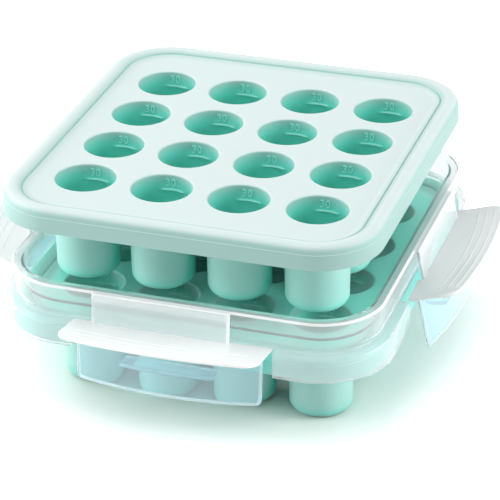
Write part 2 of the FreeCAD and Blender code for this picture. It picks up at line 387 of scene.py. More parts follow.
def make_skin_group():
    """Fine moulded skin: a faint grain on slow ripples as a height, and a little uneven roughness."""
    inputs = {"Grain Size": 0.4, "Ripple Size": 20.0, "Roughness": 0.4, "Uneven": 0.05}
    group, given, made = new_group("moulded_skin", inputs, ["Height", "Roughness"])
    place = group.nodes.new("ShaderNodeTexCoord")

    def noise(size_name, detail):
        texture = group.nodes.new("ShaderNodeTexNoise")
        texture.inputs["Detail"].default_value = detail
        scale = combined(group, "DIVIDE", 1 / MM, given.outputs[size_name])
        group.links.new(place.outputs["Object"], texture.inputs["Vector"])
        group.links.new(scale, texture.inputs["Scale"])
        return texture.outputs["Fac"]

    grain = noise("Grain Size", 2)
    ripple = noise("Ripple Size", 1)
    height = combined(group, "MULTIPLY_ADD", grain, GRAIN_SHARE, ripple)
    centred = combined(group, "SUBTRACT", ripple, 0.5)
    uneven = combined(group, "MULTIPLY_ADD", centred, given.outputs["Uneven"], given.outputs["Roughness"])
    group.links.new(height, made.inputs["Height"])
    group.links.new(uneven, made.inputs["Roughness"])
    return group


skin_group = make_skin_group()


def new_material(name):
    """Material with its node tree and its one shader."""
    material = bpy.data.materials.new(name)
    material.use_nodes = True
    tree = material.node_tree
    return material, tree, tree.nodes["Principled BSDF"]


def add_skin(tree, shader, grain, ripple, roughness, uneven, bump_height):
    """Puts the moulded skin on a material, as its roughness and as a bump."""
    skin = tree.nodes.new("ShaderNodeGroup")
    skin.node_tree = skin_group
    skin.inputs["Grain Size"].default_value = grain
    skin.inputs["Ripple Size"].default_value = ripple
    skin.inputs["Roughness"].default_value = roughness
    skin.inputs["Uneven"].default_value = uneven
    bump = tree.nodes.new("ShaderNodeBump")
    bump.inputs["Distance"].default_value = bump_height * MM
    tree.links.new(skin.outputs["Height"], bump.inputs["Height"])
    tree.links.new(bump.outputs["Normal"], shader.inputs["Normal"])
    tree.links.new(skin.outputs["Roughness"], shader.inputs["Roughness"])


def make_silicone():
    """Matt mint silicone with painted light: deep mint as painted shade in its hollows and down inside its
    cups, paler where it is open, palest on its top faces as a painted highlight.
    """
    material, tree, shader = new_material("mint_silicone")
    add_skin(tree, shader, grain=0.5, ripple=30.0, roughness=0.5, uneven=0.1, bump_height=0.03)
    # Painted shade: deep mint where ambient occlusion finds hollows, lifted on the rim and near the cup
    # feet, deepened down inside the cups.
    air = smooth_share(tree, open_air(tree, HOLLOW_REACH), HOLLOW_AIR, OPEN_AIR)
    unshaded_share = combined(tree, "MAXIMUM", air, painted_share(tree, "painted_shade_lift"))
    unshaded_share = combined(tree, "SUBTRACT", unshaded_share, painted_share(tree, "painted_cup_shade"), clamp=True)
    # Painted highlight: the palest colour on faces that look up, deep mint where they are in painted shade.
    geometry = tree.nodes.new("ShaderNodeNewGeometry")
    axes = tree.nodes.new("ShaderNodeSeparateXYZ")
    tree.links.new(geometry.outputs["Normal"], axes.inputs[0])
    lit_top_share = smooth_share(tree, axes.outputs["Z"], SLOPING, LEVEL)
    body_colour = mixed_colour(tree, unshaded_share, MINT_IN_PAINTED_SHADE, MINT)
    lit_top_colour = mixed_colour(tree, unshaded_share, MINT_IN_PAINTED_SHADE, MINT_PAINTED_TOP_LIGHT)
    thin_colour = mixed_colour(tree, unshaded_share, THIN_IN_PAINTED_SHADE, THIN_MINT_PAINTED_GLOW)
    colour = mixed_colour(tree, lit_top_share, body_colour, lit_top_colour)
    # Painted shade on the ramp and groove inside the rim's crown.
    colour = mixed_colour(tree, painted_share(tree, "painted_rim_shade"), colour, MINT)
    # Thin cup walls: brighter mint painted in for light through them, with painted shade in their hollows.
    colour = mixed_colour(tree, painted_share(tree, "thin_wall"), colour, thin_colour)
    # Painted highlight on the raised fill line and numbers.
    colour = mixed_colour(tree, painted_share(tree, "raised_mark"), colour, MINT_MARK_HIGHLIGHT)
    tree.links.new(colour, shader.inputs["Base Color"])
    shader.inputs["IOR"].default_value = 1.41
    shader.inputs["Sheen Weight"].default_value = 0.25
    shader.inputs["Sheen Roughness"].default_value = 0.5
    shader.inputs["Subsurface Weight"].default_value = 0.15
    shader.inputs["Subsurface Scale"].default_value = 2 * MM
    shader.inputs["Subsurface Radius"].default_value = (0.5, 1.0, 0.9)
    return material


def make_plastic(name, tint, clearness, roughness, bending, lamp_share):
    """Clear polypropylene. Each face lets lamp_share of a lamp's light straight through."""
    material, tree, shader = new_material(name)
    add_skin(tree, shader, grain=1.0, ripple=14.0, roughness=roughness, uneven=0.01, bump_height=0.02)
    shader.inputs["Base Color"].default_value = tint
    shader.inputs["IOR"].default_value = bending
    shader.inputs["Transmission Weight"].default_value = clearness
    shader.inputs["Coat Weight"].default_value = 0.4
    shader.inputs["Coat Roughness"].default_value = 0.15
    shadow_ray = tree.nodes.new("ShaderNodeLightPath").outputs["Is Shadow Ray"]
    tree.links.new(combined(tree, "MULTIPLY_ADD", shadow_ray, -lamp_share, 1), shader.inputs["Alpha"])
    return material


# ---------------------------------------------------------------- mesh tools


def rounded_line(corners, steps):
    """Points along a line through (out, height, radius) corners, with each bend rounded."""
    points = []
    for index, (out, height, radius) in enumerate(corners):
        corner = Vector((out, height))
        if radius == 0:
            points.append(corner)
            continue
        before = (Vector(corners[index - 1][:2]) - corner).normalized()
        after = (Vector(corners[index + 1][:2]) - corner).normalized()
        half_angle = before.angle(after) / 2
        reach = radius / math.tan(half_angle)
        inward = (before + after).normalized()
        centre = corner + inward * (radius / math.sin(half_angle))
        first = corner + before * reach - centre
        last = corner + after * reach - centre
        sweep = first.angle_signed(last)
        for step in range(steps + 1):
            turned = first.copy()
            turned.rotate(Matrix.Rotation(-sweep * step / steps, 2))
            points.append(centre + turned)
    return points


def border_stations(half_width, half_depth, radius, marks, corner_steps):
    """Foot points and outward directions once round a rounded rectangle, from the +X side.

    marks gives, for each of the four sides, how far along it extra stations are wanted."""
    stations = []
    corners = [(1, 1), (-1, 1), (-1, -1), (1, -1)]
    for side, (side_x, side_y) in enumerate(corners):
        outward = Vector((math.cos(side * math.pi / 2), math.sin(side * math.pi / 2)))
        along = Vector((-outward.y, outward.x))
        half = half_width if side % 2 == 0 else half_depth
        for mark in sorted(marks[side]):
            stations.append((outward * half + along * mark, outward))
        centre = Vector((side_x * (half_width - radius), side_y * (half_depth - radius)))
        for step in range(corner_steps + 1):
            angle = math.pi / 2 * (side + step / corner_steps)
            direction = Vector((math.cos(angle), math.sin(angle)))
            stations.append((centre + direction * radius, direction))
    return stations


def sweep_rings(mesh, stations, line):
    """One ring of vertices for each (out, height) point of the line, joined by quads."""
    rings = []
    for out, height in line:
        ring = []
        for foot, direction in stations:
            place = foot + direction * out
            ring.append(mesh.verts.new((place.x, place.y, height)))
        rings.append(ring)
    join_rings(mesh, rings)
    return rings


def join_rings(mesh, rings):
    """Quads between each ring of vertices and the next."""
    for inner, outer in zip(rings, rings[1:]):
        count = len(inner)
        for index in range(count):
            after = (index + 1) % count
            mesh.faces.new((inner[index], inner[after], outer[after], outer[index]))


def join_and_cap(mesh, rings):
    """Closed skin over rings of vertices."""
    join_rings(mesh, rings)
    mesh.faces.new(rings[0])
    mesh.faces.new(rings[-1])


def shade_smooth(data, sharp_angle):
    """Smooth shading, save over edges that are sharper than an angle in degrees."""
    for face in data.polygons:
        face.use_smooth = True
    data.set_sharp_from_angle(angle=math.radians(sharp_angle))


def finish_mesh(mesh, name, materials, body, sharp_angle, nodes):
    """Turns a millimetre bmesh into a piece in metres that rides on a body, if one is given."""
    bmesh.ops.recalc_face_normals(mesh, faces=mesh.faces)
    bmesh.ops.scale(mesh, vec=(MM, MM, MM), verts=mesh.verts)
    data = bpy.data.meshes.new(name)
    mesh.to_mesh(data)
    mesh.free()
    shade_smooth(data, sharp_angle)
    for material in materials:
        data.materials.append(material)
    piece = bpy.data.objects.new(name, data)
    bpy.context.scene.collection.objects.link(piece)
    if body:
        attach(piece, body)
    if nodes:
        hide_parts(*nodes)
    return piece


# ---------------------------------------------------------------- silicone trays

TRAY_SHARP_ANGLE = 50
TRAY_CORNER_STEPS = 16
LEVEL_TOLERANCE = 1e-4
MERGE_DISTANCE = 1e-3

# Cup: rows are the depths of the rings of points down its walls
CUP_SEGMENTS = 64
MOUTH_MARGIN = 1.6
MOUTH_ROUNDING = 1.1
MOUTH_END = 4
INNER_ROWS = [14, 20, 28, 36]
NECK_MARGIN = 1.8
NECK_ROUNDING = 1.0
NECK_END = 8
OUTER_ROWS = [16, 26, 36]
FOOT_START = 44
FLOOR_HUB = 3

# Fill line and number on a cup's inner wall; centres and spans along the wall are in degrees
MARK_DEPTH = 8.7
MARK_CENTRE = 87.0
MARK_HALF_SPAN = 26.0
MARK_PROUD = 0.8
MARK_HALF_HEIGHT = 1.0
MARK_STEPS = 3
MARK_END_SLOPE = 4
NUMBER = "30"
NUMBER_CENTRE = 92.5
NUMBER_SIZE = 6.2
NUMBER_HALF_THICKNESS = 0.3
NUMBER_PROUD = 0.15
NUMBER_LIFT = 1.9
NUMBER_SMOOTHNESS = 3

# Rim, from the panel outwards
RAMP_START = 14.5
RAMP_HEIGHT = 1.2
RAMP_STEPS = 8
GROOVE_INSET = 9.5
GROOVE_HEIGHT = 0.6
GROOVE_HALF_WIDTH = 0.6
GROOVE_ROUNDING = 0.3
CROWN_FOOT_RISE = 1.2
CROWN_FOOT_ROUNDING = 0.7
CROWN_INSET = 5.6
CROWN_SHOULDER = 2.5
CROWN_RADIUS = 4.0
PARTING_Z = -1.3
PARTING_BEAD = 0.25
PARTING_HEIGHT = 0.6
PARTING_STEP = 0.04
SIDE_TOP_OUT = 0.1
SIDE_TOP_Z = -2.6
RIM_ROUNDING = 1.2
UNDERSIDE_ROUNDING = 1.0
UNDERSIDE_MARGIN = 3.0

# Shares that are painted on the points, for the silicone's colour: painted shade on the ramp inside the rim,
# a lift of the painted hollow shade on the rim, painted shade down inside the cups, and a lift of it near
# the cup feet
RIM_SHADE_SHARE = 0.6
RIM_SHADE_END = 1 - GROOVE_INSET
RIM_SHADE_LIFT = 0.45
CUP_SHADE_SHARE = 0.75
CUP_SHADE_DEPTH = 7.0
FOOT_SHADE_LIFT = 0.7
FOOT_REACH = 12.0


def soft_step(share):
    """Share with a soft start and end; what lies outside 0 to 1 is cut off."""
    share = min(1.0, max(0.0, share))
    return share * share * (3 - 2 * share)


def mark_bulge(angle, depth):
    """How far the fill line stands out of a cup's inner wall, at an angle and a depth."""
    off_line = abs(depth - MARK_DEPTH) / MARK_HALF_HEIGHT
    off_centre = abs(math.degrees(angle) - MARK_CENTRE) / MARK_HALF_SPAN
    if off_line >= 1 or off_centre >= 1:
        return 0.0
    across = math.cos(off_line * math.pi / 2) ** 2
    along = min(1.0, (1 - off_centre) * MARK_END_SLOPE)
    return MARK_PROUD * across * along


def wall_rows(radius, depths):
    """Points down a cup's tapered wall."""
    return [Vector((radius - CUP_TAPER * depth / CUP_DEPTH, -depth)) for depth in depths]


def cup_inner_line():
    """(radius, height) from the mouth's rounding down to the cup's floor."""
    mouth = [
        (MOUTH_RADIUS + MOUTH_MARGIN, 0, 0),
        (MOUTH_RADIUS, 0, MOUTH_ROUNDING),
        (MOUTH_RADIUS, -MOUTH_END, 0),
    ]
    mark_steps = range(-MARK_STEPS, MARK_STEPS + 1)
    mark_rows = [MARK_DEPTH + MARK_HALF_HEIGHT * step / MARK_STEPS for step in mark_steps]
    floor = CUP_FLOOR - CUP_DEPTH
    foot = [
        (MOUTH_RADIUS - CUP_TAPER, -INNER_ROWS[-1], 0),
        (MOUTH_RADIUS - CUP_TAPER, floor, FOOT_RADIUS - CUP_WALL),
        (FLOOR_HUB, floor, 0),
    ]
    rows = wall_rows(MOUTH_RADIUS, mark_rows + INNER_ROWS)
    return rounded_line(mouth, steps=5) + rows + rounded_line(foot, steps=8)[1:]


def cup_outer_line():
    """(radius, height) from the panel's underside down to the cup's bottom."""
    radius = MOUTH_RADIUS + CUP_WALL
    neck = [
        (radius + NECK_MARGIN, -PANEL_THICKNESS, 0),
        (radius, -PANEL_THICKNESS, NECK_ROUNDING),
        (radius, -NECK_END, 0),
    ]
    foot = [
        (radius - CUP_TAPER, -FOOT_START, 0),
        (radius - CUP_TAPER, -CUP_DEPTH, FOOT_RADIUS),
        (FLOOR_HUB, -CUP_DEPTH, 0),
    ]
    rows = wall_rows(radius, OUTER_ROWS)
    return rounded_line(neck, steps=4) + rows + rounded_line(foot, steps=10)


def turn_line(mesh, line, centre, inside):
    """Turns a cup line round its centre and closes it at the bottom; returns its top ring."""
    layers = mesh.verts.layers.float
    rings = []
    for radius, height in line:
        ring = []
        for index in range(CUP_SEGMENTS):
            angle = 2 * math.pi * index / CUP_SEGMENTS
            bulge = mark_bulge(angle, -height) if inside else 0
            place = centre + Vector((math.cos(angle), math.sin(angle), 0)) * (radius - bulge)
            vertex = mesh.verts.new((place.x, place.y, height))
            if inside:
                # The raised fill line carries a painted highlight.
                vertex[layers["raised_mark"]] = min(1.0, bulge / MARK_PROUD)
                # Painted shade inside the cup: none at the mouth, full a few millimetres down.
                vertex[layers["painted_cup_shade"]] = CUP_SHADE_SHARE * soft_step(-height / CUP_SHADE_DEPTH)
            else:
                # Near the foot the painted hollow shade is lifted.
                near_foot = (-height - CUP_DEPTH + FOOT_REACH) / FOOT_REACH
                vertex[layers["painted_shade_lift"]] = FOOT_SHADE_LIFT * soft_step(near_foot)
                # The outer wall takes the thin-wall colours: painted light through it and painted shade.
                vertex[layers["thin_wall"]] = 1
            ring.append(vertex)
        rings.append(ring)
    join_rings(mesh, rings)
    mesh.faces.new(rings[-1])
    return rings[0]


def square_cell(mesh, ring, centre, height):
    """Joins a round mouth to the square of the cup grid that it stands in."""
    half = CUP_PITCH / 2
    border = []
    for index in range(CUP_SEGMENTS):
        angle = 2 * math.pi * index / CUP_SEGMENTS
        across = math.cos(angle)
        along = math.sin(angle)
        reach = half / max(abs(across), abs(along))
        border.append(mesh.verts.new((centre.x + reach * across, centre.y + reach * along, height)))
    join_rings(mesh, [ring, border])


def fill_margin(mesh, height):
    """Fills the flat panel between the grid of cups and the rim's ring of vertices."""
    grid_edge = CUPS_A_SIDE * CUP_PITCH / 2 - MERGE_DISTANCE
    level = [v for v in mesh.verts if abs(v.co.z - height) < LEVEL_TOLERANCE]
    bmesh.ops.remove_doubles(mesh, verts=level, dist=MERGE_DISTANCE)
    edges = []
    for edge in mesh.edges:
        is_level = all(abs(v.co.z - height) <= LEVEL_TOLERANCE for v in edge.verts)
        past_grid = all(max(abs(v.co.x), abs(v.co.y)) > grid_edge for v in edge.verts)
        if len(edge.link_faces) == 1 and is_level and past_grid:
            edges.append(edge)
    bmesh.ops.triangle_fill(mesh, edges=edges, use_beauty=True, normal=(0, 0, 1))


def cup_centres():
    """Centre of each cup, row by row, with the tray's centre at 0."""
    for row in range(CUPS_A_SIDE):
        for column in range(CUPS_A_SIDE):
            x = (column - (CUPS_A_SIDE - 1) / 2) * CUP_PITCH
            y = (row - (CUPS_A_SIDE - 1) / 2) * CUP_PITCH
            yield Vector((x, y, 0))


def rim_line():
    """Top surface up a soft ramp, through a groove, over the rim's crown, down outside and back under."""
    ramp_width = RAMP_START - GROOVE_INSET - GROOVE_HALF_WIDTH
    ramp = []
    for step in range(RAMP_STEPS + 1):
        height = RAMP_HEIGHT * soft_step(step / RAMP_STEPS)
        ramp.append(Vector((ramp_width * step / RAMP_STEPS - RAMP_START, height)))
    crown = [
        (-GROOVE_INSET - GROOVE_HALF_WIDTH, RAMP_HEIGHT, 0),
        (-GROOVE_INSET, GROOVE_HEIGHT, GROOVE_ROUNDING),
        (-GROOVE_INSET + GROOVE_HALF_WIDTH, GROOVE_HEIGHT + CROWN_FOOT_RISE, CROWN_FOOT_ROUNDING),
        (-CROWN_INSET, LIP_HEIGHT, CROWN_SHOULDER),
        (0.0, LIP_HEIGHT, CROWN_RADIUS),
        (0.0, PARTING_Z, 0),
    ]
    bead = [
        (PARTING_BEAD, PARTING_Z - PARTING_HEIGHT * 0.25),
        (PARTING_BEAD, PARTING_Z - PARTING_HEIGHT * 0.75),
        (PARTING_STEP, PARTING_Z - PARTING_HEIGHT),
    ]
    below = [
        (SIDE_TOP_OUT, SIDE_TOP_Z, 0),
        (RIM_FLARE, -RIM_DROP, RIM_ROUNDING),
        (-RIM_WIDTH, -RIM_DROP, RIM_ROUNDING),
        (-RIM_WIDTH, -PANEL_THICKNESS, UNDERSIDE_ROUNDING),
        (-RIM_WIDTH - UNDERSIDE_MARGIN, -PANEL_THICKNESS, 0),
    ]
    return ramp + rounded_line(crown, steps=7)[1:] + bead + rounded_line(below, steps=6)


def fill_number():
    """Raised plain number on a cup's inner wall, above its fill line, as vertices and faces."""
    curve = bpy.data.curves.new("fill_number", "FONT")
    curve.body = NUMBER
    curve.size = NUMBER_SIZE
    curve.extrude = NUMBER_HALF_THICKNESS
    curve.align_x = "CENTER"
    curve.resolution_u = NUMBER_SMOOTHNESS
    writer = bpy.data.objects.new("fill_number", curve)
    bpy.context.scene.collection.objects.link(writer)
    bpy.context.view_layer.update()
    data = bpy.data.meshes.new_from_object(writer)
    bpy.data.objects.remove(writer)
    places = []
    for vertex in data.vertices:
        angle = math.radians(NUMBER_CENTRE) - vertex.co.x / MOUTH_RADIUS
        reach = MOUTH_RADIUS - NUMBER_PROUD - vertex.co.z
        height = vertex.co.y - MARK_DEPTH + NUMBER_LIFT
        places.append(Vector((reach * math.cos(angle), reach * math.sin(angle), height)))
    faces = [tuple(face.vertices) for face in data.polygons]
    bpy.data.meshes.remove(data)
    return places, faces


def make_tray_mesh():
    """Whole tray as one closed skin, with the numbers in its cups and its panel's top at height 0."""
    mesh = bmesh.new()
    layers = mesh.verts.layers.float
    for name in ("raised_mark", "painted_rim_shade", "painted_shade_lift", "painted_cup_shade", "thin_wall"):
        layers.new(name)
    inner_line = cup_inner_line()
    outer_line = cup_outer_line()
    for centre in cup_centres():
        square_cell(mesh, turn_line(mesh, inner_line, centre, True), centre, 0)
        square_cell(mesh, turn_line(mesh, outer_line, centre, False), centre, -PANEL_THICKNESS)
    no_marks = [[], [], [], []]
    stations = border_stations(tray_half_width, tray_half_depth, TRAY_CORNER, no_marks, TRAY_CORNER_STEPS)
    line = rim_line()
    for (out, height), ring in zip(line, sweep_rings(mesh, stations, line)):
        # Painted shade that grows across the ramp towards the groove, inside the rim's crown.
        on_strip = height > 0 and out < RIM_SHADE_END
        strip = RIM_SHADE_SHARE * soft_step((out + RAMP_START) / (RIM_SHADE_END + RAMP_START)) if on_strip else 0
        for vertex in ring:
            # The whole rim lifts the painted hollow shade.
            vertex[layers["painted_shade_lift"]] = RIM_SHADE_LIFT
            vertex[layers["painted_rim_shade"]] = strip
    fill_margin(mesh, 0)
    fill_margin(mesh, -PANEL_THICKNESS)
    bmesh.ops.recalc_face_normals(mesh, faces=mesh.faces)
    number_places, number_faces = fill_number()
    for centre in cup_centres():
        verts = [mesh.verts.new(place + centre) for place in number_places]
        for vertex in verts:
            # The raised numbers carry the painted highlight too.
            vertex[layers["raised_mark"]] = 1
        for face in number_faces:
            mesh.faces.new([verts[index] for index in face])
    return mesh


def make_trays(silicone):
    """Lower and upper tray, the same moulding at two places."""
    upper_place = Vector((upper_centre.x, upper_centre.y, upper_panel_z))
    for level, place in (("lower", Vector((0, 0, lower_panel_z))), ("upper", upper_place)):
        mesh = make_tray_mesh()
        bmesh.ops.translate(mesh, vec=place, verts=mesh.verts)
        body = level + "_tray"
        nodes = (body + "_panel", body + "_cups")
        finish_mesh(mesh, level + "_silicone_tray", (silicone,), body, TRAY_SHARP_ANGLE, nodes)


# ---------------------------------------------------------------- lid

LID_SHARP_ANGLE = 40
LID_CORNER_STEPS = 18
RECESS_MARGIN = 6.0
RECESS_ROUNDING = 2.5
BORDER_ROUNDING = 1.8
BORDER_INSET = 0.1
FLANGE_ROUNDING = 0.6
SKIRT_ROUNDING = 2.0

# Low raised band round the wall: its drops below the border, how much of the wall's lean each of
# its edges has, and how far they stand proud
WALL_BAND_TOP = 13.0
WALL_BAND_SLOPE = 1.8
WALL_BAND_FOOT = 16.4
WALL_BAND_TOP_LEAN = 0.62
WALL_BAND_FOOT_LEAN = 0.72
WALL_BAND_PROUD = 0.35
WALL_BAND_FOOT_PROUD = 0.25

# Where the finishes change
CLEAR_INSET = 0.3
# A strip along the border's top outer edge takes the frosted finish as a painted highlight on its rounding.
EDGE_HIGHLIGHT_DROP = 1.2
EDGE_HIGHLIGHT_WIDTH = 1.6
VEIL_RISE = 0.5

CUT_ROUNDING = 0.4
CUT_STEPS = 3
CUT_ANGLE = 60
NOTCH_INSET = 0.5
NOTCH_TOLERANCE = 0.01


def lid_line():
    """Top surface from the recess floor over the border and wall to the skirt's lower edge."""
    recess_foot = -BORDER_WIDTH - RECESS_LEAN
    band_out = -WALL_LEAN * WALL_BAND_TOP_LEAN
    band_z = border_z - WALL_BAND_TOP
    return rounded_line(
        [
            (recess_foot - RECESS_MARGIN, recess_z, 0),
            (recess_foot, recess_z, RECESS_ROUNDING),
            (-BORDER_WIDTH, border_z, BORDER_ROUNDING),
            (-BORDER_INSET, border_z, BORDER_ROUNDING),
            (band_out, band_z, 0),
            (band_out + WALL_BAND_PROUD, band_z - WALL_BAND_SLOPE, 0),
            (-WALL_LEAN * WALL_BAND_FOOT_LEAN + WALL_BAND_FOOT_PROUD, border_z - WALL_BAND_FOOT, 0),
            (-WALL_LEAN + BORDER_INSET, flange_z, FLANGE_ROUNDING),
            (SKIRT_REACH, flange_z, SKIRT_ROUNDING),
            (SKIRT_REACH + SKIRT_FLARE, skirt_bottom_z, 0),
        ],
        steps=6,
    )


def lid_finish(out, height):
    """Clear inside the border, frosted along its outer edge as a painted highlight on its rounding, milky on
    the walls, veiled on the skirt.
    """
    if out < -BORDER_WIDTH - CLEAR_INSET:
        return CLEAR
    # Painted highlight on the border's outer rounding.
    if height > border_z - EDGE_HIGHLIGHT_DROP and out > -EDGE_HIGHLIGHT_WIDTH:
        return FROSTED
    if height < flange_z + VEIL_RISE:
        return VEILED
    return MILKY


def thicken(piece, thickness):
    """Gives a sheet its wall thickness on the inside and rounds its cut edges."""
    wall = piece.modifiers.new("wall", "SOLIDIFY")
    wall.thickness = thickness * MM
    wall.offset = -1
    wall.use_even_offset = True
    edges = piece.modifiers.new("edges", "BEVEL")
    edges.width = CUT_ROUNDING * MM
    edges.segments = CUT_STEPS
    edges.limit_method = "ANGLE"
    edges.angle_limit = math.radians(CUT_ANGLE)
    graph = bpy.context.evaluated_depsgraph_get()
    data = bpy.data.meshes.new_from_object(piece.evaluated_get(graph))
    piece.modifiers.clear()
    piece.data = data


def in_notch(centre):
    """True for a face of the flange or skirt that makes room for a latch."""
    for latch in LATCHES.values():
        place = centre.copy()
        place.rotate(Matrix.Rotation(math.radians(-latch["turn"]), 3, "Z"))
        far_out = -place.y > latch["half_out"] - LEDGE_WING - NOTCH_INSET
        if far_out and abs(place.x - latch["shift"]) < LEDGE_WIDTH / 2 + NOTCH_GAP:
            return True
    return False


def make_lid(finishes):
    """Recessed lid as one sheet, notched for the latches, then made as thick as its wall."""
    marks = [[], [], [], []]
    notch_half = LEDGE_WIDTH / 2 + NOTCH_GAP
    for latch in LATCHES.values():
        side = (latch["turn"] // 90 - 1) % 4
        marks[side] = [latch["shift"] - notch_half, latch["shift"] + notch_half]
    stations = border_stations(lid_half_width, lid_half_depth, LID_CORNER, marks, LID_CORNER_STEPS)
    mesh = bmesh.new()
    line = lid_line()
    rings = sweep_rings(mesh, stations, line)
    for index, face in enumerate(mesh.faces):
        out, height = line[index // len(stations)]
        face.material_index = lid_finish(out, height)
    mesh.faces.new(rings[0])
    notched = []
    for face in mesh.faces:
        middle = face.calc_center_median()
        if middle.z < flange_z + NOTCH_TOLERANCE and in_notch(middle):
            notched.append(face)
    bmesh.ops.delete(mesh, geom=notched, context="FACES")
    lid = finish_mesh(mesh, "clear_lid", finishes, "lid", LID_SHARP_ANGLE, ("lid",))
    thicken(lid, LID_WALL)
    shade_smooth(lid.data, LID_SHARP_ANGLE)


# ---------------------------------------------------------------- latch flaps

FLAP_SHARP_ANGLE = 35
SLAB_ROUNDING = 0.6
SLAB_STEPS = 3
SLICE_TOLERANCE = 1e-5
NARROWEST_STRETCH = 0.3
BEAD_RADIUS = 0.95
BEAD_INSET = 0.8
BEAD_SIDES = 10

LEDGE_ARC_STEPS = 40
LEDGE_CORNER_PULL = 0.8
LEDGE_BEAD_RADIUS = 1.15
LEDGE_BEAD_INSET = 0.9
LEDGE_BEAD_SINK = 0.2
WING_BEVEL_WIDTH = 0.6
WING_BEVEL_DEPTH = 1.0
RIDGES = 3
RIDGE_PITCH = 4.6
RIDGE_START = 4.4
RIDGE_END = 8
RIDGE_RADIUS = 1.2
RIDGE_SINK = 0.95
RIDGE_STEPS = 24

PLATE_TOP = 0.7
PLATE_SLICES = 28

PANEL_ROUNDING = 0.5
PANEL_BEAD_RADIUS = 0.9
HINGE_BAND_HEIGHT = 4.0
HINGE_BAND_THICKNESS = LATCH_WALL + 0.35
HINGE_BAND_ROUNDING = 0.25
HINGE_BAND_INNER_PROUD = 0.1
HINGE_SIDES = 20

CATCH_ROUNDING = 0.5
CATCH_STEPS = 12

WEB_THICKNESS = 0.5
WEB_ROWS = 8
WEB_TRIM = 0.3
WEB_INSET = 1.4
WEB_LIFT = 0.25
WEB_BEND_START = 0.2


def grown(outline, distance):
    """Closed outline of 2-D points, counter-clockwise, moved outwards by a distance."""
    count = len(outline)
    moved = []
    for index, point in enumerate(outline):
        before = (point - outline[index - 1]).normalized()
        after = (outline[(index + 1) % count] - point).normalized()
        normal = Vector((before.y, -before.x)) + Vector((after.y, -after.x))
        normal.normalize()
        stretch = max(NARROWEST_STRETCH, normal.dot(Vector((after.y, -after.x))))
        moved.append(point + normal * (distance / stretch))
    return moved


def rounded_slab(outline, bottom, thickness, rounding, steps=SLAB_STEPS):
    """Slab in the XY plane whose upper and lower edges are rounded."""
    levels = []
    for step in range(steps + 1):
        angle = math.pi / 2 * step / steps
        levels.append((-rounding * (1 - math.sin(angle)), bottom + rounding * (1 - math.cos(angle))))
    top = bottom + thickness
    for step in range(steps + 1):
        angle = math.pi / 2 * (1 - step / steps)
        levels.append((-rounding * (1 - math.sin(angle)), top - rounding * (1 - math.cos(angle))))
    mesh = bmesh.new()
    rings = []
    for inset, height in levels:
        rings.append([mesh.verts.new((p.x, p.y, height)) for p in grown(outline, inset)])
    join_and_cap(mesh, rings)
    bmesh.ops.recalc_face_normals(mesh, faces=mesh.faces)
    return mesh


def slice_across(mesh, half_length, slices):
    """Cuts a slab across X into slices, so that it can be bent."""
    for index in range(1, slices):
        x = -half_length + 2 * half_length * index / slices
        bmesh.ops.bisect_plane(
            mesh,
            geom=mesh.verts[:] + mesh.edges[:] + mesh.faces[:],
            plane_co=(x, 0, 0),
            plane_no=(1, 0, 0),
            dist=SLICE_TOLERANCE,
        )


def bow(mesh, radius):
    """Bends a mesh that lies in the XY plane, so that its length follows a circle that bulges to +Z."""
    for vertex in mesh.verts:
        x, y, z = vertex.co
        angle = x / radius
        reach = radius + z
        vertex.co = Vector((reach * math.sin(angle), y, reach * math.cos(angle) - radius))


def bow_radius(half_width, rise):
    """Radius of the arc that rises so far over its chord."""
    return (half_width ** 2 + rise ** 2) / (2 * rise)


def arc_points(half_width, rise, end_out, count):
    """Points from left to right along a front edge that bulges outwards; out is -Y."""
    radius = bow_radius(half_width, rise)
    half_angle = math.asin(half_width / radius)
    points = []
    for index in range(count + 1):
        angle = half_angle * (2 * index / count - 1)
        out = end_out + rise - radius * (1 - math.cos(angle))
        points.append(Vector((radius * math.sin(angle), -out)))
    return points


def gathered(parts):
    """Lays closed meshes into one. Each comes with the number of its finish."""
    result = bmesh.new()
    for mesh, finish in parts:
        for face in mesh.faces:
            face.material_index = finish
        data = bpy.data.meshes.new("part")
        mesh.to_mesh(data)
        mesh.free()
        result.from_mesh(data)
        bpy.data.meshes.remove(data)
    return result


def quarter(start, corner, end, steps=9):
    """Points between start and end along a rounded corner, both ends left out."""
    points = []
    for step in range(1, steps):
        share = step / steps
        rest = 1 - share
        points.append(start * rest ** 2 + corner * (2 * share * rest) + end * share ** 2)
    return points


def edge_bead(path, height, radius=BEAD_RADIUS, inset=BEAD_INSET):
    """Round bead along an edge that is walked counter-clockwise, a little inside it."""
    mesh = bmesh.new()
    rings = []
    for index, point in enumerate(path):
        before = path[max(index - 1, 0)]
        after = path[min(index + 1, len(path) - 1)]
        along = (after - before).normalized()
        outward = Vector((along.y, -along.x))
        ring = []
        for step in range(BEAD_SIDES):
            angle = 2 * math.pi / BEAD_SIDES * step
            place = point + outward * (radius * math.cos(angle) - inset)
            ring.append(mesh.verts.new((place.x, place.y, height + radius * math.sin(angle))))
        rings.append(ring)
    join_and_cap(mesh, rings)
    return mesh


def rectangle(left, right, foot, top):
    """Corners counter-clockwise from the lower left one."""
    return [Vector((left, foot)), Vector((right, foot)), Vector((right, top)), Vector((left, top))]


def stand_up(mesh, place):
    """Stands a mesh that lies in the XY plane upright at a place, with its top face outwards."""
    upright = Matrix.Rotation(math.radians(90), 4, "X")
    bmesh.ops.transform(mesh, matrix=Matrix.Translation(place) @ upright, verts=mesh.verts)


def tilt_ledge(mesh, foot_out):
    """Tilts a part of the ledge about the foot of the hinge panel, so that its front hangs lower."""
    turn = Matrix.Rotation(math.radians(-LEDGE_TILT), 4, "X")
    foot = Matrix.Translation((0, -foot_out, ledge_z - LATCH_WALL / 2))
    bmesh.ops.transform(mesh, matrix=foot @ turn @ foot.inverted(), verts=mesh.verts)


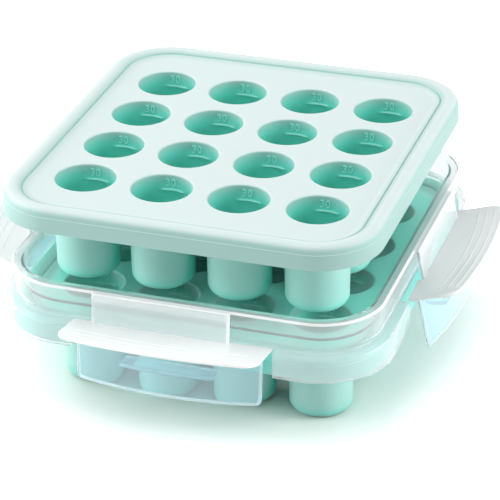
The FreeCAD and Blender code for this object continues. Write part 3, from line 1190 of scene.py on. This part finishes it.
def ledge_front(end_out):
    """Front edge of the ledge from its left end round both corners to its right end."""
    half = LEDGE_WIDTH / 2
    arc = arc_points(half, LEDGE_BOW, end_out, LEDGE_ARC_STEPS)
    arc = [point for point in arc if abs(point.x) < half - LEDGE_CORNER]
    left_end = Vector((-half, LEDGE_CORNER - end_out))
    right_end = Vector((half, LEDGE_CORNER - end_out))
    left_corner = quarter(left_end, Vector((-half, arc[0].y + LEDGE_CORNER_PULL)), arc[0])
    right_corner = quarter(arc[-1], Vector((half, arc[-1].y + LEDGE_CORNER_PULL)), right_end)
    return [left_end] + left_corner + arc + right_corner + [right_end]


def ledge_parts(panel_out, panel_shift):
    """Finger ledge with wings beside the panel, a bead on its front edge and its ridges."""
    half = LEDGE_WIDTH / 2
    wing_y = LEDGE_WING + LATCH_WALL + HINGE_GAP - panel_out
    panel_y = LATCH_WALL - panel_out
    left = panel_shift - PANEL_WIDTH / 2
    right = panel_shift + PANEL_WIDTH / 2
    back = [
        (half, wing_y - WING_BEVEL_DEPTH),
        (half - WING_BEVEL_WIDTH, wing_y),
        (right, wing_y),
        (right, panel_y),
        (left, panel_y),
        (left, wing_y),
        (WING_BEVEL_WIDTH - half, wing_y),
        (-half, wing_y - WING_BEVEL_DEPTH),
    ]
    front_out = panel_out + LEDGE_DEPTH
    front = ledge_front(front_out)
    outline = front + [Vector(point) for point in back]
    bead_z = ledge_z - LATCH_WALL / 2 - LEDGE_BEAD_SINK
    parts = [
        rounded_slab(outline, ledge_z - LATCH_WALL, LATCH_WALL, SLAB_ROUNDING),
        edge_bead(front, bead_z, LEDGE_BEAD_RADIUS, LEDGE_BEAD_INSET),
    ]
    ridge_half = half - RIDGE_END
    ridge_bow = LEDGE_BOW * (ridge_half / half) ** 2
    for index in range(RIDGES):
        ridge_out = front_out + LEDGE_BOW - ridge_bow - RIDGE_START - index * RIDGE_PITCH
        ridge = arc_points(ridge_half, ridge_bow, ridge_out, RIDGE_STEPS)
        parts.append(edge_bead(ridge, ledge_z - RIDGE_SINK, RIDGE_RADIUS, 0))
    for part in parts:
        tilt_ledge(part, panel_out)
    return parts


def plate_front(panel_out):
    """How far out the middle of the plate's bow stands."""
    return panel_out + PLATE_INSET + LATCH_WALL + PLATE_BOW


def plate_parts(panel_out):
    """Bowed plate with rounded lower corners and a beaded edge, hung from the ledge."""
    half = PLATE_WIDTH / 2
    radius = bow_radius(half, PLATE_BOW)
    half_length = radius * math.asin(half / radius) - PLATE_TRIM
    low_left = Vector((-half_length, -PLATE_DROP))
    low_right = Vector((half_length, -PLATE_DROP))
    lift = Vector((0, PLATE_CORNER))
    step_in = Vector((PLATE_CORNER, 0))
    edge = [Vector((-half_length, -PLATE_TOP)), low_left + lift]
    edge += quarter(low_left + lift, low_left, low_left + step_in)
    for index in range(PLATE_SLICES + 1):
        edge.append((low_left + step_in).lerp(low_right - step_in, index / PLATE_SLICES))
    edge += quarter(low_right - step_in, low_right, low_right + lift)
    edge += [low_right + lift, Vector((half_length, -PLATE_TOP))]
    slab = rounded_slab(edge, -LATCH_WALL, LATCH_WALL, SLAB_ROUNDING)
    slice_across(slab, half_length, PLATE_SLICES)
    bead = edge_bead(edge, -LATCH_WALL / 2)
    for part in (slab, bead):
        bow(part, radius)
        stand_up(part, (0, -plate_front(panel_out), ledge_z))
    return slab, bead


def panel_parts(panel_out, panel_shift):
    """Upright panel with its thicker hinge band on top and beads down both sides."""
    left = panel_shift - PANEL_WIDTH / 2
    right = panel_shift + PANEL_WIDTH / 2
    foot = ledge_z - LATCH_WALL / 2
    sheet = rectangle(left, right, foot, hinge_z)
    band = rectangle(left, right, hinge_z - HINGE_BAND_HEIGHT, hinge_z)
    band_bottom = -LATCH_WALL - HINGE_BAND_INNER_PROUD
    low_left, low_right, high_right, high_left = sheet
    parts = [
        rounded_slab(sheet, -LATCH_WALL, LATCH_WALL, PANEL_ROUNDING),
        rounded_slab(band, band_bottom, HINGE_BAND_THICKNESS, HINGE_BAND_ROUNDING),
        edge_bead([high_left, low_left], -LATCH_WALL / 2, PANEL_BEAD_RADIUS),
        edge_bead([low_right, high_right], -LATCH_WALL / 2, PANEL_BEAD_RADIUS),
    ]
    for part in parts:
        stand_up(part, (0, -panel_out, 0))
    return parts


def hinge_bead(half_out, panel_shift):
    """Round bead along the top of the panel, about which the flap turns."""
    bead = bmesh.new()
    radius = LATCH_WALL / 2
    bmesh.ops.create_cone(
        bead, cap_ends=True, segments=HINGE_SIDES, radius1=radius, radius2=radius, depth=PANEL_WIDTH,
    )
    along = Matrix.Rotation(math.radians(90), 4, "Y")
    place = Matrix.Translation((panel_shift, -half_out - hinge_out, hinge_z))
    bmesh.ops.transform(bead, matrix=place @ along, verts=bead.verts)
    return bead


def catch_shelf(panel_out):
    """Shelf on the plate's inside that holds under the tray's rim."""
    radius = bow_radius(PLATE_WIDTH / 2, PLATE_BOW)
    rim_out = panel_out - LATCH_WALL - HINGE_GAP - TRAY_GAP + RIM_FLARE
    tip = rim_out - CATCH_REACH
    outline = []
    for index in range(CATCH_STEPS + 1):
        x = CATCH_WIDTH * (index / CATCH_STEPS - 0.5)
        out = plate_front(panel_out) - radius + math.sqrt(radius ** 2 - x ** 2) - LATCH_WALL / 2
        outline.append(Vector((x, -out)))
    outline += [Vector((CATCH_WIDTH / 2, -tip)), Vector((-CATCH_WIDTH / 2, -tip))]
    return rounded_slab(outline, catch_z - CATCH_THICKNESS, CATCH_THICKNESS, CATCH_ROUNDING, steps=2)


def side_place(latch):
    """Moves what is made for the front to a latch's own side."""
    turn = Matrix.Rotation(math.radians(latch["turn"]), 4, "Z")
    return turn @ Matrix.Translation((latch["shift"], 0, 0))


def make_flap(name, finishes):
    """Rigid flap: hinge bead, panel, ledge, plate and catch shelf, opened by its rest angle."""
    latch = LATCHES[name]
    panel_out = latch["half_out"] + HINGE_GAP + LATCH_WALL
    panel, band, left_bead, right_bead = panel_parts(panel_out, latch["panel_shift"])
    plate, plate_bead = plate_parts(panel_out)
    # The right side bead takes the whiter frosted finish as a painted highlight along that edge.
    parts = [(panel, MILKY), (band, MILKY), (left_bead, MILKY), (right_bead, FROSTED)]
    parts.append((hinge_bead(latch["half_out"], latch["panel_shift"]), FROSTED))
    for part in ledge_parts(panel_out, latch["panel_shift"]):
        parts.append((part, FROSTED))
    # The plate's bead takes the whiter milky finish as a painted highlight outlining its edge.
    parts += [(plate, CLEAR), (plate_bead, MILKY), (catch_shelf(panel_out), CLEAR)]
    mesh = gathered(parts)
    hinge = Matrix.Translation((0, -latch["half_out"] - hinge_out, hinge_z))
    opened = hinge @ Matrix.Rotation(math.radians(-latch["angle"]), 4, "X") @ hinge.inverted()
    bmesh.ops.transform(mesh, matrix=side_place(latch) @ opened, verts=mesh.verts)
    finish_mesh(mesh, name + "_flap", finishes, name, FLAP_SHARP_ANGLE, (name,))


def make_web(name, material):
    """Thin film hinge between the lid's border and a flap's bead."""
    latch = LATCHES[name]
    half = PANEL_WIDTH / 2 - WEB_TRIM
    start_out = latch["half_out"] - WEB_INSET
    end_out = latch["half_out"] + hinge_out
    mesh = bmesh.new()
    rings = []
    for index in range(WEB_ROWS + 1):
        out = start_out + (end_out - start_out) * index / WEB_ROWS
        section = []
        for x, side in ((-half, -1), (half, -1), (half, 1), (-half, 1)):
            height = hinge_z + WEB_LIFT + side * WEB_THICKNESS / 2
            section.append(mesh.verts.new((x + latch["panel_shift"], -out, height)))
        rings.append(section)
    join_and_cap(mesh, rings)
    place = side_place(latch)
    bmesh.ops.transform(mesh, matrix=place, verts=mesh.verts)
    web = finish_mesh(mesh, name + "_film_hinge", (material,), None, FLAP_SHARP_ANGLE, ())
    start = place @ Vector((latch["panel_shift"], WEB_BEND_START - latch["half_out"], hinge_z))
    end = place @ Vector((latch["panel_shift"], -end_out, hinge_z))
    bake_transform(web, "lid", name, start=start * MM, end=end * MM)


# ---------------------------------------------------------------- whole scene

bpy.context.scene.view_settings.view_transform = "Standard"
place_camera()
make_world()
make_floor()
for lamp_name, (lamp_place, lamp_size, lamp_power) in LAMPS.items():
    soft_light(lamp_name, lamp_place, lamp_size, lamp_power)

silicone = make_silicone()
clear_plastic = make_plastic(
    "clear_plastic", (0.90, 1.0, 0.985, 1), clearness=0.97, roughness=0.1, bending=1.1, lamp_share=0.92
)
blue_clear_plastic = make_plastic(
    "blue_clear_plastic", (0.76, 0.94, 1.0, 1), clearness=0.82, roughness=0.1, bending=1.15, lamp_share=0.9
)
wall_plastic = make_plastic(
    "wall_plastic", (0.95, 0.96, 0.97, 1), clearness=0.82, roughness=0.14, bending=1.12, lamp_share=0.88
)
skirt_plastic = make_plastic(
    "skirt_plastic", (0.93, 0.93, 0.95, 1), clearness=0.76, roughness=0.14, bending=1.12, lamp_share=0.62
)
milky_plastic = make_plastic(
    "milky_plastic", (0.96, 1.0, 1.0, 1), clearness=0.7, roughness=0.14, bending=1.2, lamp_share=0.88
)
frosted_plastic = make_plastic(
    "frosted_plastic", (0.99, 1.0, 1.0, 1), clearness=0.15, roughness=0.14, bending=1.3, lamp_share=0.85
)

make_trays(silicone)
make_lid((clear_plastic, wall_plastic, frosted_plastic, skirt_plastic))
for latch_name in LATCHES:
    make_flap(latch_name, (blue_clear_plastic, milky_plastic, frosted_plastic))
    make_web(latch_name, frosted_plastic)
